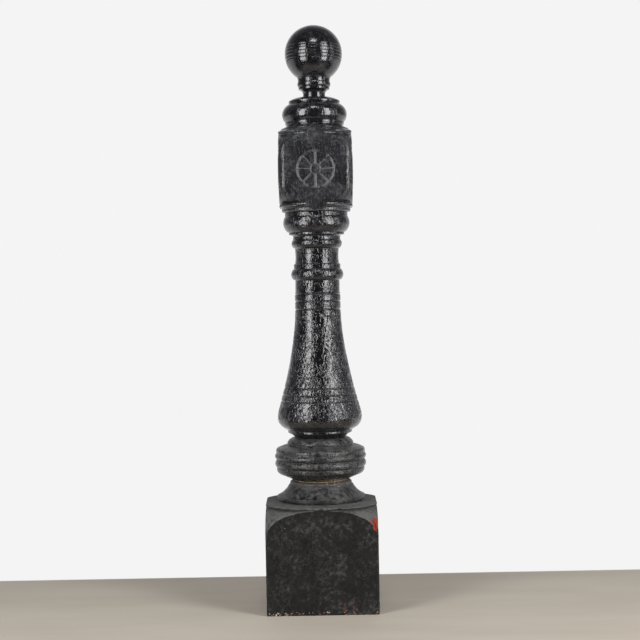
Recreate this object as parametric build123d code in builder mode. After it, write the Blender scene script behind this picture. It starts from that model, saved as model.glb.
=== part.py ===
from build123d import *
from math import cos, radians, sin, sqrt
import os

# A newel post turned in softwood and painted, in millimetres, +Z up. The origin is the centre of
# the underside, where the post stands on the floor. The front face looks along -Y. The turned
# sections are stacked on hardwood dowels and clamped by an iron rod through their middle.

# Heights above the floor of the joints between the sections
plinth_block_top = 221.5
plinth_cap_top = 264.0
collar_bottom = 265.5
collar_top = 354.5
shaft_top = 827.0
upper_block_top = 1000.5
cap_top = 1068.0
overall_height = 1219.0

# Plinth block: a square block with a turned ring and shoulder at its top
plinth_width = 232.0
plinth_arris_radius = 4.0
plinth_foot_chamfer = 1.5
plinth_ring_radius = 128.5
plinth_ring_top = 219.5
plinth_ring_bottom = 217.0
plinth_seat_radius = 88.0
plinth_quirk_radius = 117.0
plinth_shoulder_radius = 62.5
plinth_shoulder_centre = (102.0, 153.0)

# Plinth cap: a fillet, a cove and a small bead
plinth_cap_foot_radius = 86.0
plinth_cap_fillet_radius = 92.4
plinth_cap_fillet_bottom = 225.0
plinth_cap_fillet_top = 232.0
plinth_cove_bottom_radius = 90.5
plinth_cove_bottom = 232.5
plinth_cove_top_radius = 68.0
plinth_cove_top = 254.5
plinth_cove_hollow = 2.6
plinth_bead_foot_radius = 64.2
plinth_bead_radius = 65.0
plinth_bead_bottom = 255.5
plinth_bead_top_radius = 60.5
plinth_bead_swell = 2.6

# Collar: a broad ring with two beads, and a small ovolo step above it
collar_foot_radius = 57.5
collar_under_radius = 84.0
collar_under_top = 277.0
collar_under_swell = 1.6
collar_wall_radius = 92.6
collar_wall_bottom = 285.0
collar_wall_top = 291.0
collar_quirk_radius = 91.4
collar_bead_radius = 93.0
collar_bead_swell = 3.5
collar_lower_bead = (292.5, 306.8)
collar_upper_bead = (308.8, 320.5)
collar_fillet_radius = 93.9
collar_fillet_bottom = 321.5
collar_fillet_top = 327.5
collar_edge_swell = 1.2
collar_shelf_radius = 90.5
collar_shelf_edge = 332.3
collar_shelf_inner_radius = 66.5
collar_shelf_top = 339.8
collar_shelf_swell = 0.8
collar_step_radius = 69.8
collar_step_bottom = 341.5
collar_step_edge = 343.3
collar_step_swell = 3.0
collar_neck_radius = 53.0

# Shaft: from its foot, a cup, a long bell, grooved bands, a ring, a neck, a bead and a torus
shaft_foot_radius = 52.6
cup_edge_radius = 66.2
cup_edge_bottom = 364.0
cup_edge_top = 365.0
cup_hollow = 0.8
cup_step_radius = 68.0
cup_step_top = 369.8
cup_lip_radius = 71.5
cup_lip_height = 371.6
bell_bottom_radius = 80.2
bell_bottom_height = 377.0
bell_radius = 88.3
bell_widest = 401.0
bell_lower_swell = 3.4
bell_upper_swell = 0.7
bell_break_radius = 84.2
bell_break_height = 419.0
waist_radius = 48.2
waist_bottom = 620.5
bell_flare_point = 548.0
bell_grooves = (432.0, 445.0, 460.0)
waist_grooves = (623.5, 640.5, 655.5)
groove_half_width = 2.0
groove_depth = 1.5
waist_top = 658.5
shaft_cylinder_radius = 46.8
shaft_cylinder_bottom = 659.5
shaft_cylinder_top = 684.5
ring_bottom = 686.0
ring_bottom_radius = 50.6
ring_top = 707.5
ring_top_radius = 51.2
ring_swell = 4.3
ring_fillet_radius = 49.2
ring_fillet_bottom = 709.0
ring_fillet_top = 718.5
neck_bottom = 720.0
neck_top = 751.0
neck_radius = 46.4
neck_hollow = 1.2
neck_bead_bottom = 752.5
neck_bead_top = 769.5
neck_bead_bottom_radius = 48.6
neck_bead_top_radius = 50.2
neck_bead_swell = 3.9
cavetto_bottom = 771.0
cavetto_straight = 776.5
cavetto_radius = 49.8
cavetto_hollow = 1.5
band_bottom = 780.0
band_top = 785.0
band_radius = 58.4
torus_bottom_radius = 61.0
torus_bottom = 786.0
torus_top_radius = 66.0
torus_top = 819.0
torus_swell = 6.3

# Upper block: a square block whose corners and both ends are turned. Its shoulders and rings are
# mirrored about its middle; the top slopes up to the cap moulding, the bottom steps in to a band
block_width = 152.8
block_middle = 915.6
block_corner_radius = 101.6
block_corner_half_height = 31.0
block_shoulder_radius = 47.5
block_quirk_radius = 79.0
block_ring_radius = 88.0
block_ring_bottom_rise = 74.3
block_ring_top_rise = 78.3
block_end_radius = 71.5
block_band_radius = 72.4
block_band_top = 835.8
block_slope_hollow = 1.4
block_foot_fillet_height = 828.5
block_foot_radius = 68.0

# Rosettes: turned and carved roundels let into the four faces of the upper block
rosette_height = 912.8
rosette_radius = 41.0
rosette_back = 6.0
rosette_field = 3.4
rosette_rim_inner_radius = 35.0
rosette_rim_depth = 1.0
rosette_bead_radius = 37.8
rosette_bead_half_width = 3.1
rosette_bead_depth = 1.2
rosette_spokes = 8
rosette_spoke_half_width = 3.4
rosette_spoke_depth = 2.0
rosette_spoke_start = 10.5
rosette_spoke_length = 26.5
rosette_hub_radius = 11.5
rosette_hub_bead_radius = 10.2
rosette_hub_bead_half_width = 2.0
rosette_pin_circle = 24.0
rosette_pin_turn = 22.5
rosette_recess_gap = 0.2
pin_radius = 1.0
pin_length = 20.0
pin_hole_gap = 0.05

# Cap moulding: a flared foot, a fat torus and a thin domed disc
cap_foot_radius = 71.0
cap_foot_edge = 1002.0
cap_foot_hollow = 1.6
cap_neck_radius = 60.0
cap_neck_bottom = 1009.0
cap_neck_top = 1011.0
cap_fillet_radius = 61.8
cap_fillet_top = 1015.2
cap_torus_bottom_radius = 62.0
cap_torus_bottom = 1016.2
cap_torus_top_radius = 54.0
cap_torus_top = 1053.5
cap_torus_swell = 9.8
cap_quirk_radius = 50.6
cap_quirk_bottom = 1054.2
cap_quirk_top = 1055.6
cap_disc_radius = 53.7
cap_disc_edge_top = 1060.0
cap_seat_radius = 25.5
cap_dome_swell = 2.4

# Ball finial: a grooved ball on a turned neck
ball_radius = 60.25
ball_centre = overall_height - ball_radius
ball_groove_middle = ball_centre + 1.5
ball_groove_pitch = 7.0
ball_groove_count = 5
ball_groove_half_width = 1.1
ball_groove_depth = 0.9
finial_foot_radius = 23.6
finial_foot_top = 1073.2
finial_flare_radius = 30.6
finial_flare_top = 1083.5
finial_flare_hollow = 1.9
finial_collar_radius = 32.6
finial_collar_bottom = 1084.5
finial_collar_top = 1089.0
finial_bead_top = 1100.0
finial_bead_top_radius = 33.8
finial_bead_swell = 1.7
finial_throat_radius = 37.0
finial_throat_hollow = 1.2

# Iron rod with a nut and a washer at each end, in a pocket at each end of the stack
rod_radius = 8.0
rod_hole_radius = 9.0
rod_bottom = 8.0
rod_top = 993.0
washer_thickness = 4.5
nut_thickness = 13.0
nut_across_flats = 24.0
nut_hole_gap = 0.05
bottom_pocket_radius = 31.0
bottom_pocket_depth = 32.0
bottom_washer_radius = 28.0
top_pocket_radius = 25.5
top_pocket_depth = 30.0
top_washer_radius = 23.0

# Hardwood dowels: the circle that each set stands on, and half of a dowel's length
dowel_radius = 6.0
dowel_hole_gap = 0.1
dowel_end_gap = 1.0
dowel_chamfer = 1.0
plinth_dowel_circle = 50.0
plinth_dowel_reach = 28.0
collar_dowel_circle = 32.0
collar_dowel_reach = 24.0
shaft_dowel_circle = 32.0
shaft_dowel_reach = 30.0
block_dowel_circle = 38.0
block_dowel_reach = 30.0
cap_dowel_circle = 42.0
cap_dowel_reach = 25.0
finial_dowel_radius = 11.0
finial_dowel_reach = 36.0

# Putty bed in the open joint under the collar
putty_outer_radius = 56.6
putty_inner_radius = 42.0


def bead(start, end, swell):
    """A convex stretch of an outline that is drawn upwards."""
    return SagittaArc(start, end, -swell)


def cove(start, end, hollow):
    """A hollow stretch of an outline that is drawn upwards."""
    return SagittaArc(start, end, hollow)


def close_outline(start, end):
    """Joins both ends of a half outline to the axis of the post."""
    Polyline(end, (0, end[1]), (0, start[1]), start)


def bore_up(height, radius, depth):
    """A blind hole from an underside at this height."""
    with Locations(Location((0, 0, height), (180, 0, 0))):
        Hole(radius, depth)


def dowel_holes(height, circle, reach, facing, turn):
    """Four blind holes in an end at this height. The end faces up (1) or down (-1)."""
    with Locations(Location((0, 0, height), (0 if facing > 0 else 180, 0, 0))):
        with PolarLocations(circle, 4, turn):
            Hole(dowel_radius + dowel_hole_gap, reach + dowel_end_gap)


def groove_outline(radius, height, half_width, depth):
    """The outline of a V-shaped groove, centred on a turned surface at this radius and height."""
    with Locations((radius, height)):
        Polygon((-depth, 0), (0, -half_width), (depth, 0), (0, half_width))


def ball_point(height):
    """The point of the ball's outline at this height."""
    return sqrt(ball_radius**2 - (height - ball_centre) ** 2), height


def ball_arc(low, high):
    """The ball's outline between two heights."""
    ThreePointArc(ball_point(low), ball_point((low + high) / 2), ball_point(high))


def block_face(turn):
    """The plane of one face of the upper block, at the middle of its rosette, drawn facing outwards.
    The front face has a turn of 0, the right face 90."""
    outward = (sin(radians(turn)), -cos(radians(turn)), 0)
    middle = (outward[0] * block_width / 2, outward[1] * block_width / 2, rosette_height)
    return Plane(middle, x_dir=(-outward[1], outward[0], 0), z_dir=outward)


def save(sub_part, name):
    """Labels a finished piece and writes it as its own file."""
    sub_part.label = name
    export_step(sub_part, f"parts/{name}.step")


os.makedirs("parts", exist_ok=True)

# Plinth block
shoulder_r, shoulder_z = plinth_shoulder_centre
shoulder_top = shoulder_z + sqrt(plinth_shoulder_radius**2 - (plinth_quirk_radius - shoulder_r) ** 2)
shoulder_edge = shoulder_r + plinth_shoulder_radius
with BuildPart() as plinth_block:
    with BuildSketch():
        Rectangle(plinth_width, plinth_width)
    extrude(amount=plinth_block_top)
    fillet(plinth_block.edges().filter_by(Axis.Z), plinth_arris_radius)
    chamfer(plinth_block.faces().sort_by(Axis.Z)[0].edges(), plinth_foot_chamfer)
    with BuildSketch(Plane.XZ):
        with BuildLine():
            start = (plinth_width, 0)
            Polyline(start, (plinth_width, shoulder_z), (shoulder_edge, shoulder_z))
            RadiusArc(
                (shoulder_edge, shoulder_z),
                (plinth_quirk_radius, shoulder_top),
                -plinth_shoulder_radius,
            )
            Polyline(
                (plinth_quirk_radius, shoulder_top),
                (plinth_quirk_radius, plinth_ring_bottom),
                (plinth_ring_radius, plinth_ring_bottom),
                (plinth_ring_radius, plinth_ring_top),
                (plinth_seat_radius, plinth_block_top),
            )
            close_outline(start, (plinth_seat_radius, plinth_block_top))
        make_face()
    revolve(axis=Axis.Z, mode=Mode.INTERSECT)
    with Locations((0, 0, plinth_block_top)):
        Hole(rod_hole_radius)
    bore_up(0, bottom_pocket_radius, bottom_pocket_depth)
    dowel_holes(plinth_block_top, plinth_dowel_circle, plinth_dowel_reach, 1, 0)
save(plinth_block.part, "plinth_block")

# Plinth cap
with BuildPart() as plinth_cap:
    with BuildSketch(Plane.XZ):
        with BuildLine():
            start = (plinth_cap_foot_radius, plinth_block_top)
            Polyline(
                start,
                (plinth_cap_foot_radius, plinth_cap_fillet_bottom),
                (plinth_cap_fillet_radius, plinth_cap_fillet_bottom),
                (plinth_cap_fillet_radius, plinth_cap_fillet_top),
                (plinth_cove_bottom_radius, plinth_cove_bottom),
            )
            cove(
                (plinth_cove_bottom_radius, plinth_cove_bottom),
                (plinth_cove_top_radius, plinth_cove_top),
                plinth_cove_hollow,
            )
            Polyline(
                (plinth_cove_top_radius, plinth_cove_top),
                (plinth_bead_foot_radius, plinth_cove_top),
                (plinth_bead_radius, plinth_bead_bottom),
            )
            bead(
                (plinth_bead_radius, plinth_bead_bottom),
                (plinth_bead_top_radius, plinth_cap_top),
                plinth_bead_swell,
            )
            close_outline(start, (plinth_bead_top_radius, plinth_cap_top))
        make_face()
    revolve(axis=Axis.Z)
    with Locations((0, 0, plinth_cap_top)):
        Hole(rod_hole_radius)
    dowel_holes(plinth_block_top, plinth_dowel_circle, plinth_dowel_reach, -1, 0)
    dowel_holes(plinth_cap_top, collar_dowel_circle, collar_dowel_reach, 1, 45)
save(plinth_cap.part, "plinth_cap")

# Putty bed between the plinth cap and the collar
with BuildPart() as putty_bed:
    with BuildSketch(Plane.XY.offset(plinth_cap_top)):
        Circle(putty_outer_radius)
        Circle(putty_inner_radius, mode=Mode.SUBTRACT)
    extrude(amount=collar_bottom - plinth_cap_top)
save(putty_bed.part, "putty_bed")

# Collar
with BuildPart() as collar:
    with BuildSketch(Plane.XZ):
        with BuildLine():
            start = (collar_foot_radius, collar_bottom)
            Line(start, (collar_under_radius, collar_under_top))
            bead(
                (collar_under_radius, collar_under_top),
                (collar_wall_radius, collar_wall_bottom),
                collar_under_swell,
            )
            Polyline(
                (collar_wall_radius, collar_wall_bottom),
                (collar_wall_radius, collar_wall_top),
                (collar_quirk_radius, collar_wall_top),
                (collar_quirk_radius, collar_lower_bead[0]),
                (collar_bead_radius, collar_lower_bead[0]),
            )
            bead(
                (collar_bead_radius, collar_lower_bead[0]),
                (collar_bead_radius, collar_lower_bead[1]),
                collar_bead_swell,
            )
            Polyline(
                (collar_bead_radius, collar_lower_bead[1]),
                (collar_quirk_radius, (collar_lower_bead[1] + collar_upper_bead[0]) / 2),
                (collar_bead_radius, collar_upper_bead[0]),
            )
            bead(
                (collar_bead_radius, collar_upper_bead[0]),
                (collar_bead_radius, collar_upper_bead[1]),
                collar_bead_swell,
            )
            Polyline(
                (collar_bead_radius, collar_upper_bead[1]),
                (collar_bead_radius, collar_fillet_bottom),
                (collar_fillet_radius, collar_fillet_bottom),
                (collar_fillet_radius, collar_fillet_top),
            )
            bead(
                (collar_fillet_radius, collar_fillet_top),
                (collar_shelf_radius, collar_shelf_edge),
                collar_edge_swell,
            )
            bead(
                (collar_shelf_radius, collar_shelf_edge),
                (collar_shelf_inner_radius, collar_shelf_top),
                collar_shelf_swell,
            )
            Polyline(
                (collar_shelf_inner_radius, collar_shelf_top),
                (collar_shelf_inner_radius, collar_step_bottom),
                (collar_step_radius, collar_step_bottom),
                (collar_step_radius, collar_step_edge),
            )
            bead(
                (collar_step_radius, collar_step_edge),
                (collar_neck_radius, collar_top),
                collar_step_swell,
            )
            close_outline(start, (collar_neck_radius, collar_top))
        make_face()
    revolve(axis=Axis.Z)
    with Locations((0, 0, collar_top)):
        Hole(rod_hole_radius)
    dowel_holes(collar_bottom, collar_dowel_circle, collar_dowel_reach, -1, 45)
    dowel_holes(collar_top, shaft_dowel_circle, shaft_dowel_reach, 1, 0)
save(collar.part, "collar")

# Shaft
with BuildPart() as shaft:
    with BuildSketch(Plane.XZ):
        with BuildLine():
            start = (shaft_foot_radius, collar_top)
            cove(start, (cup_edge_radius, cup_edge_bottom), cup_hollow)
            Polyline(
                (cup_edge_radius, cup_edge_bottom),
                (cup_step_radius, cup_edge_top),
                (cup_step_radius, cup_step_top),
                (cup_lip_radius, cup_lip_height),
                (bell_bottom_radius, bell_bottom_height),
            )
            bead(
                (bell_bottom_radius, bell_bottom_height),
                (bell_radius, bell_widest),
                bell_lower_swell,
            )
            bead(
                (bell_radius, bell_widest),
                (bell_break_radius, bell_break_height),
                bell_upper_swell,
            )
            Bezier(
                (bell_break_radius, bell_break_height),
                (waist_radius, bell_flare_point),
                (waist_radius, waist_bottom),
            )
            Polyline(
                (waist_radius, waist_bottom),
                (waist_radius, waist_top),
                (shaft_cylinder_radius, shaft_cylinder_bottom),
                (shaft_cylinder_radius, shaft_cylinder_top),
                (ring_bottom_radius, ring_bottom),
            )
            bead((ring_bottom_radius, ring_bottom), (ring_top_radius, ring_top), ring_swell)
            Polyline(
                (ring_top_radius, ring_top),
                (ring_fillet_radius, ring_fillet_bottom),
                (ring_fillet_radius, ring_fillet_top),
                (neck_radius, neck_bottom),
            )
            cove((neck_radius, neck_bottom), (neck_radius, neck_top), neck_hollow)
            Line((neck_radius, neck_top), (neck_bead_bottom_radius, neck_bead_bottom))
            bead(
                (neck_bead_bottom_radius, neck_bead_bottom),
                (neck_bead_top_radius, neck_bead_top),
                neck_bead_swell,
            )
            Polyline(
                (neck_bead_top_radius, neck_bead_top),
                (cavetto_radius, cavetto_bottom),
                (cavetto_radius, cavetto_straight),
            )
            cove((cavetto_radius, cavetto_straight), (band_radius, band_bottom), cavetto_hollow)
            Polyline(
                (band_radius, band_bottom),
                (band_radius, band_top),
                (torus_bottom_radius, torus_bottom),
            )
            bead((torus_bottom_radius, torus_bottom), (torus_top_radius, torus_top), torus_swell)
            Line((torus_top_radius, torus_top), (torus_top_radius, shaft_top))
            close_outline(start, (torus_top_radius, shaft_top))
        make_face()
    revolve(axis=Axis.Z)
    with BuildSketch(Plane.XZ):
        for height in waist_grooves:
            groove_outline(waist_radius, height, groove_half_width, groove_depth)
        for height in bell_grooves:
            # Where the flare, a quadratic curve, reaches this height
            rise = bell_flare_point - bell_break_height
            bend = waist_bottom - bell_flare_point - rise
            along = (sqrt(rise**2 + bend * (height - bell_break_height)) - rise) / bend
            flare_radius = waist_radius + (bell_break_radius - waist_radius) * (1 - along) ** 2
            groove_outline(flare_radius, height, groove_half_width, groove_depth)
    revolve(axis=Axis.Z, mode=Mode.SUBTRACT)
    with Locations((0, 0, shaft_top)):
        Hole(rod_hole_radius)
    dowel_holes(collar_top, shaft_dowel_circle, shaft_dowel_reach, -1, 0)
    dowel_holes(shaft_top, block_dowel_circle, block_dowel_reach, 1, 0)
save(shaft.part, "shaft")

# Upper block
corner_top = block_middle + block_corner_half_height
corner_bottom = block_middle - block_corner_half_height
block_shoulder_r = block_corner_radius - block_shoulder_radius
quirk_inner_rise = block_corner_half_height + sqrt(
    block_shoulder_radius**2 - (block_quirk_radius - block_shoulder_r) ** 2
)
with BuildPart() as upper_block:
    with BuildSketch(Plane.XY.offset(shaft_top)):
        Rectangle(block_width, block_width)
    extrude(amount=upper_block_top - shaft_top)
    with BuildSketch(Plane.XZ):
        with BuildLine():
            start = (block_foot_radius, shaft_top)
            Polyline(
                start,
                (block_band_radius, block_foot_fillet_height),
                (block_band_radius, block_band_top),
                (block_ring_radius, block_middle - block_ring_top_rise),
                (block_ring_radius, block_middle - block_ring_bottom_rise),
                (block_quirk_radius, block_middle - block_ring_bottom_rise),
                (block_quirk_radius, block_middle - quirk_inner_rise),
            )
            RadiusArc(
                (block_quirk_radius, block_middle - quirk_inner_rise),
                (block_corner_radius, corner_bottom),
                -block_shoulder_radius,
            )
            Line((block_corner_radius, corner_bottom), (block_corner_radius, corner_top))
            RadiusArc(
                (block_corner_radius, corner_top),
                (block_quirk_radius, block_middle + quirk_inner_rise),
                -block_shoulder_radius,
            )
            Polyline(
                (block_quirk_radius, block_middle + quirk_inner_rise),
                (block_quirk_radius, block_middle + block_ring_bottom_rise),
                (block_ring_radius, block_middle + block_ring_bottom_rise),
                (block_ring_radius, block_middle + block_ring_top_rise),
            )
            cove(
                (block_ring_radius, block_middle + block_ring_top_rise),
                (block_end_radius, upper_block_top),
                block_slope_hollow,
            )
            close_outline(start, (block_end_radius, upper_block_top))
        make_face()
    revolve(axis=Axis.Z, mode=Mode.INTERSECT)
    with Locations((0, 0, upper_block_top)):
        Hole(rod_hole_radius)
        Hole(top_pocket_radius, top_pocket_depth)
    dowel_holes(shaft_top, block_dowel_circle, block_dowel_reach, -1, 0)
    dowel_holes(upper_block_top, cap_dowel_circle, cap_dowel_reach, 1, 45)
    for turn in range(0, 360, 90):
        with Locations(block_face(turn).location):
            Hole(rosette_radius + rosette_recess_gap, rosette_back)
            with PolarLocations(rosette_pin_circle, 2, rosette_pin_turn):
                Hole(pin_radius + pin_hole_gap, rosette_field + pin_length + dowel_end_gap)
save(upper_block.part, "upper_block")

# Rosettes, and the two panel pins that hold each one
block_sides = {"front": 0, "right": 90, "back": 180, "left": 270}
for side, turn in block_sides.items():
    face = block_face(turn)
    with BuildPart() as rosette:
        with BuildSketch(face.offset(-rosette_back)):
            Circle(rosette_radius)
        extrude(amount=rosette_back - rosette_field)
        with BuildSketch(face.offset(-rosette_field)):
            Circle(rosette_radius)
            Circle(rosette_rim_inner_radius, mode=Mode.SUBTRACT)
        extrude(amount=rosette_field - rosette_rim_depth)
        with BuildSketch(face.offset(-rosette_field)):
            Circle(rosette_hub_radius)
        extrude(amount=rosette_field - rosette_rim_depth)
        with Locations(face.offset(-rosette_bead_depth).location):
            Torus(rosette_bead_radius, rosette_bead_half_width)
            Torus(rosette_hub_bead_radius, rosette_hub_bead_half_width)
        with Locations(face.offset(-rosette_spoke_depth).location):
            with PolarLocations(rosette_spoke_start, rosette_spokes):
                Cylinder(
                    rosette_spoke_half_width,
                    rosette_spoke_length,
                    rotation=(0, 90, 0),
                    align=(Align.CENTER, Align.CENTER, Align.MIN),
                )
        with Locations(face.location):
            with PolarLocations(rosette_pin_circle, 2, rosette_pin_turn):
                Hole(pin_radius + pin_hole_gap, 2 * rosette_back)
    save(rosette.part, f"{side}_rosette")

with BuildPart() as rosette_pins:
    for turn in block_sides.values():
        with Locations(block_face(turn).offset(-rosette_field).location):
            with PolarLocations(rosette_pin_circle, 2, rosette_pin_turn):
                Cylinder(pin_radius, pin_length, align=(Align.CENTER, Align.CENTER, Align.MAX))
save(rosette_pins.part, "rosette_pins")

# Cap moulding
with BuildPart() as cap_moulding:
    with BuildSketch(Plane.XZ):
        with BuildLine():
            start = (cap_foot_radius, upper_block_top)
            Line(start, (cap_foot_radius, cap_foot_edge))
            cove((cap_foot_radius, cap_foot_edge), (cap_neck_radius, cap_neck_bottom), cap_foot_hollow)
            Polyline(
                (cap_neck_radius, cap_neck_bottom),
                (cap_neck_radius, cap_neck_top),
                (cap_fillet_radius, cap_neck_top),
                (cap_fillet_radius, cap_fillet_top),
                (cap_torus_bottom_radius, cap_torus_bottom),
            )
            bead(
                (cap_torus_bottom_radius, cap_torus_bottom),
                (cap_torus_top_radius, cap_torus_top),
                cap_torus_swell,
            )
            Polyline(
                (cap_torus_top_radius, cap_torus_top),
                (cap_quirk_radius, cap_quirk_bottom),
                (cap_quirk_radius, cap_quirk_top),
                (cap_disc_radius, cap_quirk_top),
                (cap_disc_radius, cap_disc_edge_top),
            )
            bead((cap_disc_radius, cap_disc_edge_top), (cap_seat_radius, cap_top), cap_dome_swell)
            close_outline(start, (cap_seat_radius, cap_top))
        make_face()
    revolve(axis=Axis.Z)
    with Locations((0, 0, cap_top)):
        Hole(finial_dowel_radius + dowel_hole_gap, finial_dowel_reach + dowel_end_gap)
    dowel_holes(upper_block_top, cap_dowel_circle, cap_dowel_reach, -1, 45)
save(cap_moulding.part, "cap_moulding")

# Ball finial
throat_height = ball_centre - sqrt(ball_radius**2 - finial_throat_radius**2)
with BuildPart() as ball_finial:
    with BuildSketch(Plane.XZ):
        with BuildLine():
            start = (finial_foot_radius, cap_top)
            Line(start, (finial_foot_radius, finial_foot_top))
            cove(
                (finial_foot_radius, finial_foot_top),
                (finial_flare_radius, finial_flare_top),
                finial_flare_hollow,
            )
            Polyline(
                (finial_flare_radius, finial_flare_top),
                (finial_collar_radius, finial_collar_bottom),
                (finial_collar_radius, finial_collar_top),
            )
            bead(
                (finial_collar_radius, finial_collar_top),
                (finial_bead_top_radius, finial_bead_top),
                finial_bead_swell,
            )
            cove(
                (finial_bead_top_radius, finial_bead_top),
                (finial_throat_radius, throat_height),
                finial_throat_hollow,
            )
            arc_start = throat_height
            for index in range(ball_groove_count):
                height = ball_groove_middle + (index - (ball_groove_count - 1) / 2) * ball_groove_pitch
                arc_end = height - ball_groove_half_width
                ball_arc(arc_start, arc_end)
                arc_start = height + ball_groove_half_width
                Polyline(
                    ball_point(arc_end),
                    (ball_point(height)[0] - ball_groove_depth, height),
                    ball_point(arc_start),
                )
            ball_arc(arc_start, overall_height)
            Polyline((0, overall_height), (0, cap_top), start)
        make_face()
    revolve(axis=Axis.Z)
    bore_up(cap_top, finial_dowel_radius + dowel_hole_gap, finial_dowel_reach + dowel_end_gap)
save(ball_finial.part, "ball_finial")

# Dowels
dowel_sets = {
    "plinth_dowels": (plinth_block_top, plinth_block_top, plinth_dowel_circle, plinth_dowel_reach, 0),
    "collar_dowels": (plinth_cap_top, collar_bottom, collar_dowel_circle, collar_dowel_reach, 45),
    "shaft_dowels": (collar_top, collar_top, shaft_dowel_circle, shaft_dowel_reach, 0),
    "block_dowels": (shaft_top, shaft_top, block_dowel_circle, block_dowel_reach, 0),
    "cap_dowels": (upper_block_top, upper_block_top, cap_dowel_circle, cap_dowel_reach, 45),
}
for name, (low_face, high_face, circle, reach, turn) in dowel_sets.items():
    with BuildPart() as dowels:
        with BuildSketch(Plane.XY.offset(low_face - reach)):
            with PolarLocations(circle, 4, turn):
                Circle(dowel_radius)
        extrude(amount=high_face - low_face + 2 * reach)
        chamfer(dowels.edges().filter_by(GeomType.CIRCLE), dowel_chamfer)
    save(dowels.part, name)

with BuildPart() as finial_dowel:
    with BuildSketch(Plane.XY.offset(cap_top - finial_dowel_reach)):
        Circle(finial_dowel_radius)
    extrude(amount=2 * finial_dowel_reach)
    chamfer(finial_dowel.edges().filter_by(GeomType.CIRCLE), dowel_chamfer)
save(finial_dowel.part, "finial_dowel")

# Iron work
with BuildPart() as tie_rod:
    with BuildSketch(Plane.XY.offset(rod_bottom)):
        Circle(rod_radius)
    extrude(amount=rod_top - rod_bottom)
    chamfer(tie_rod.edges().filter_by(GeomType.CIRCLE), dowel_chamfer)
save(tie_rod.part, "tie_rod")

top_pocket_floor = upper_block_top - top_pocket_depth
iron_ends = {
    "bottom": (bottom_pocket_depth - washer_thickness, bottom_washer_radius, -1),
    "top": (top_pocket_floor, top_washer_radius, 1),
}
for end, (washer_bottom, washer_radius, outward_sign) in iron_ends.items():
    with BuildPart() as washer:
        with BuildSketch(Plane.XY.offset(washer_bottom)):
            Circle(washer_radius)
            Circle(rod_hole_radius, mode=Mode.SUBTRACT)
        extrude(amount=washer_thickness)
    save(washer.part, f"{end}_washer")
    nut_bottom = washer_bottom + washer_thickness if outward_sign > 0 else washer_bottom - nut_thickness
    with BuildPart() as nut:
        with BuildSketch(Plane.XY.offset(nut_bottom)):
            RegularPolygon(nut_across_flats / 2, 6, major_radius=False)
            Circle(rod_radius + nut_hole_gap, mode=Mode.SUBTRACT)
        extrude(amount=nut_thickness)
    save(nut.part, f"{end}_nut")
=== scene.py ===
from math import ceil, cos, pi, radians, sin, sqrt

import bmesh
import bpy
import numpy as np
from mathutils import Matrix, Vector


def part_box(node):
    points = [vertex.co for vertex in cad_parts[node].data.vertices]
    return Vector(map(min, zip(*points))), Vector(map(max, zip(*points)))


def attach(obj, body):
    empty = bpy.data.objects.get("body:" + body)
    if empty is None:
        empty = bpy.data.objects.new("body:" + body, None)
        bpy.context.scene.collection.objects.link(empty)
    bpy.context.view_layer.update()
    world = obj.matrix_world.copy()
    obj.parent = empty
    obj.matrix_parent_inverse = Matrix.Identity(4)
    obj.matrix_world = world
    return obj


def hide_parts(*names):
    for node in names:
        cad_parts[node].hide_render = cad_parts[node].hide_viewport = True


# A turned newel post under many coats of old black paint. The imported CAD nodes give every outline. Each
# turned section is cut open, its outline is softened as paint softens it, spun again on a fine mesh and
# given the lumps, wrinkles, splits, chips and dust of the real surface. Shapes are worked out in millimetres
# and written in metres. The materials, the stage, the lights and the camera are in metres throughout.

MM = 0.001
BLOCK_HALF = 76.4  # half the width of the upper block
BLOCK_MIDDLE = 915.6  # the height of the middle of the upper block
PLINTH_HALF = 116.0  # half the width of the plinth block
LINE_STEP = 0.1  # between the points of an outline while it is worked on
HIDDEN_SPACING = 12.0  # between the rows of a mesh where nobody sees them

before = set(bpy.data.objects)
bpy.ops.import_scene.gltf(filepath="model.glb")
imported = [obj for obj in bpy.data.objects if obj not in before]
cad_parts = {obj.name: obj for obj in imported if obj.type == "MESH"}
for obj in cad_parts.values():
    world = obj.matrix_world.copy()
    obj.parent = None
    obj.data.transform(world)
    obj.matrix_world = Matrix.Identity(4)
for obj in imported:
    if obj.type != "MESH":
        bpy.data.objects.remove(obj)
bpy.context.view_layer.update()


# ---------------------------------------------------------------- noise and masks

def hashed(cell, seed):
    """A repeatable number from -1 to 1 for each cell of a lattice."""
    number = cell[..., 0] * 374761393 + cell[..., 1] * 668265263 + cell[..., 2] * 1442695041 + seed * 974711
    number = (number ^ (number >> 13)) & 0x7FFFFFFF
    number = (number * 1274126177) & 0x7FFFFFFFFFFF
    number = (number ^ (number >> 16)) & 0xFFFF
    return number / 32767.5 - 1


def noise(points, size, seed, octaves=1):
    """Gradient noise, from about -1 to 1. size is how wide its largest lumps are, once or for x, y and z."""
    total = np.zeros(len(points))
    share = 1.0
    whole = 0.0
    for octave in range(octaves):
        place = points * (2**octave / np.asarray(size, float)) + 7.31 * seed
        cell = np.floor(place).astype(np.int64)
        inside = place - cell
        ease = inside**3 * (inside * (inside * 6 - 15) + 10)
        for corner in range(8):
            step = np.array([corner & 1, corner >> 1 & 1, corner >> 2 & 1])
            weight = np.prod(np.where(step, ease, 1 - ease), axis=1)
            slope = [hashed(cell + step, 11 * seed + 31 * octave + axis) for axis in range(3)]
            total += share * weight * sum(slope[axis] * (inside[:, axis] - step[axis]) for axis in range(3))
        whole += share
        share *= 0.5
    return 1.7 * total / whole


def swirled(points, size, reach, seed):
    """The points moved about by noise, so that a pattern drawn on them flows."""
    return points + reach * np.stack([noise(points, size, seed + axis) for axis in range(3)], axis=1)


def ridges(points, size, seed):
    """Noise of narrow raised lines, from 0 between them to 1 along their tops."""
    return np.clip(1 - 2.2 * np.abs(noise(points, size, seed, 2)), 0, 1)


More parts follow.
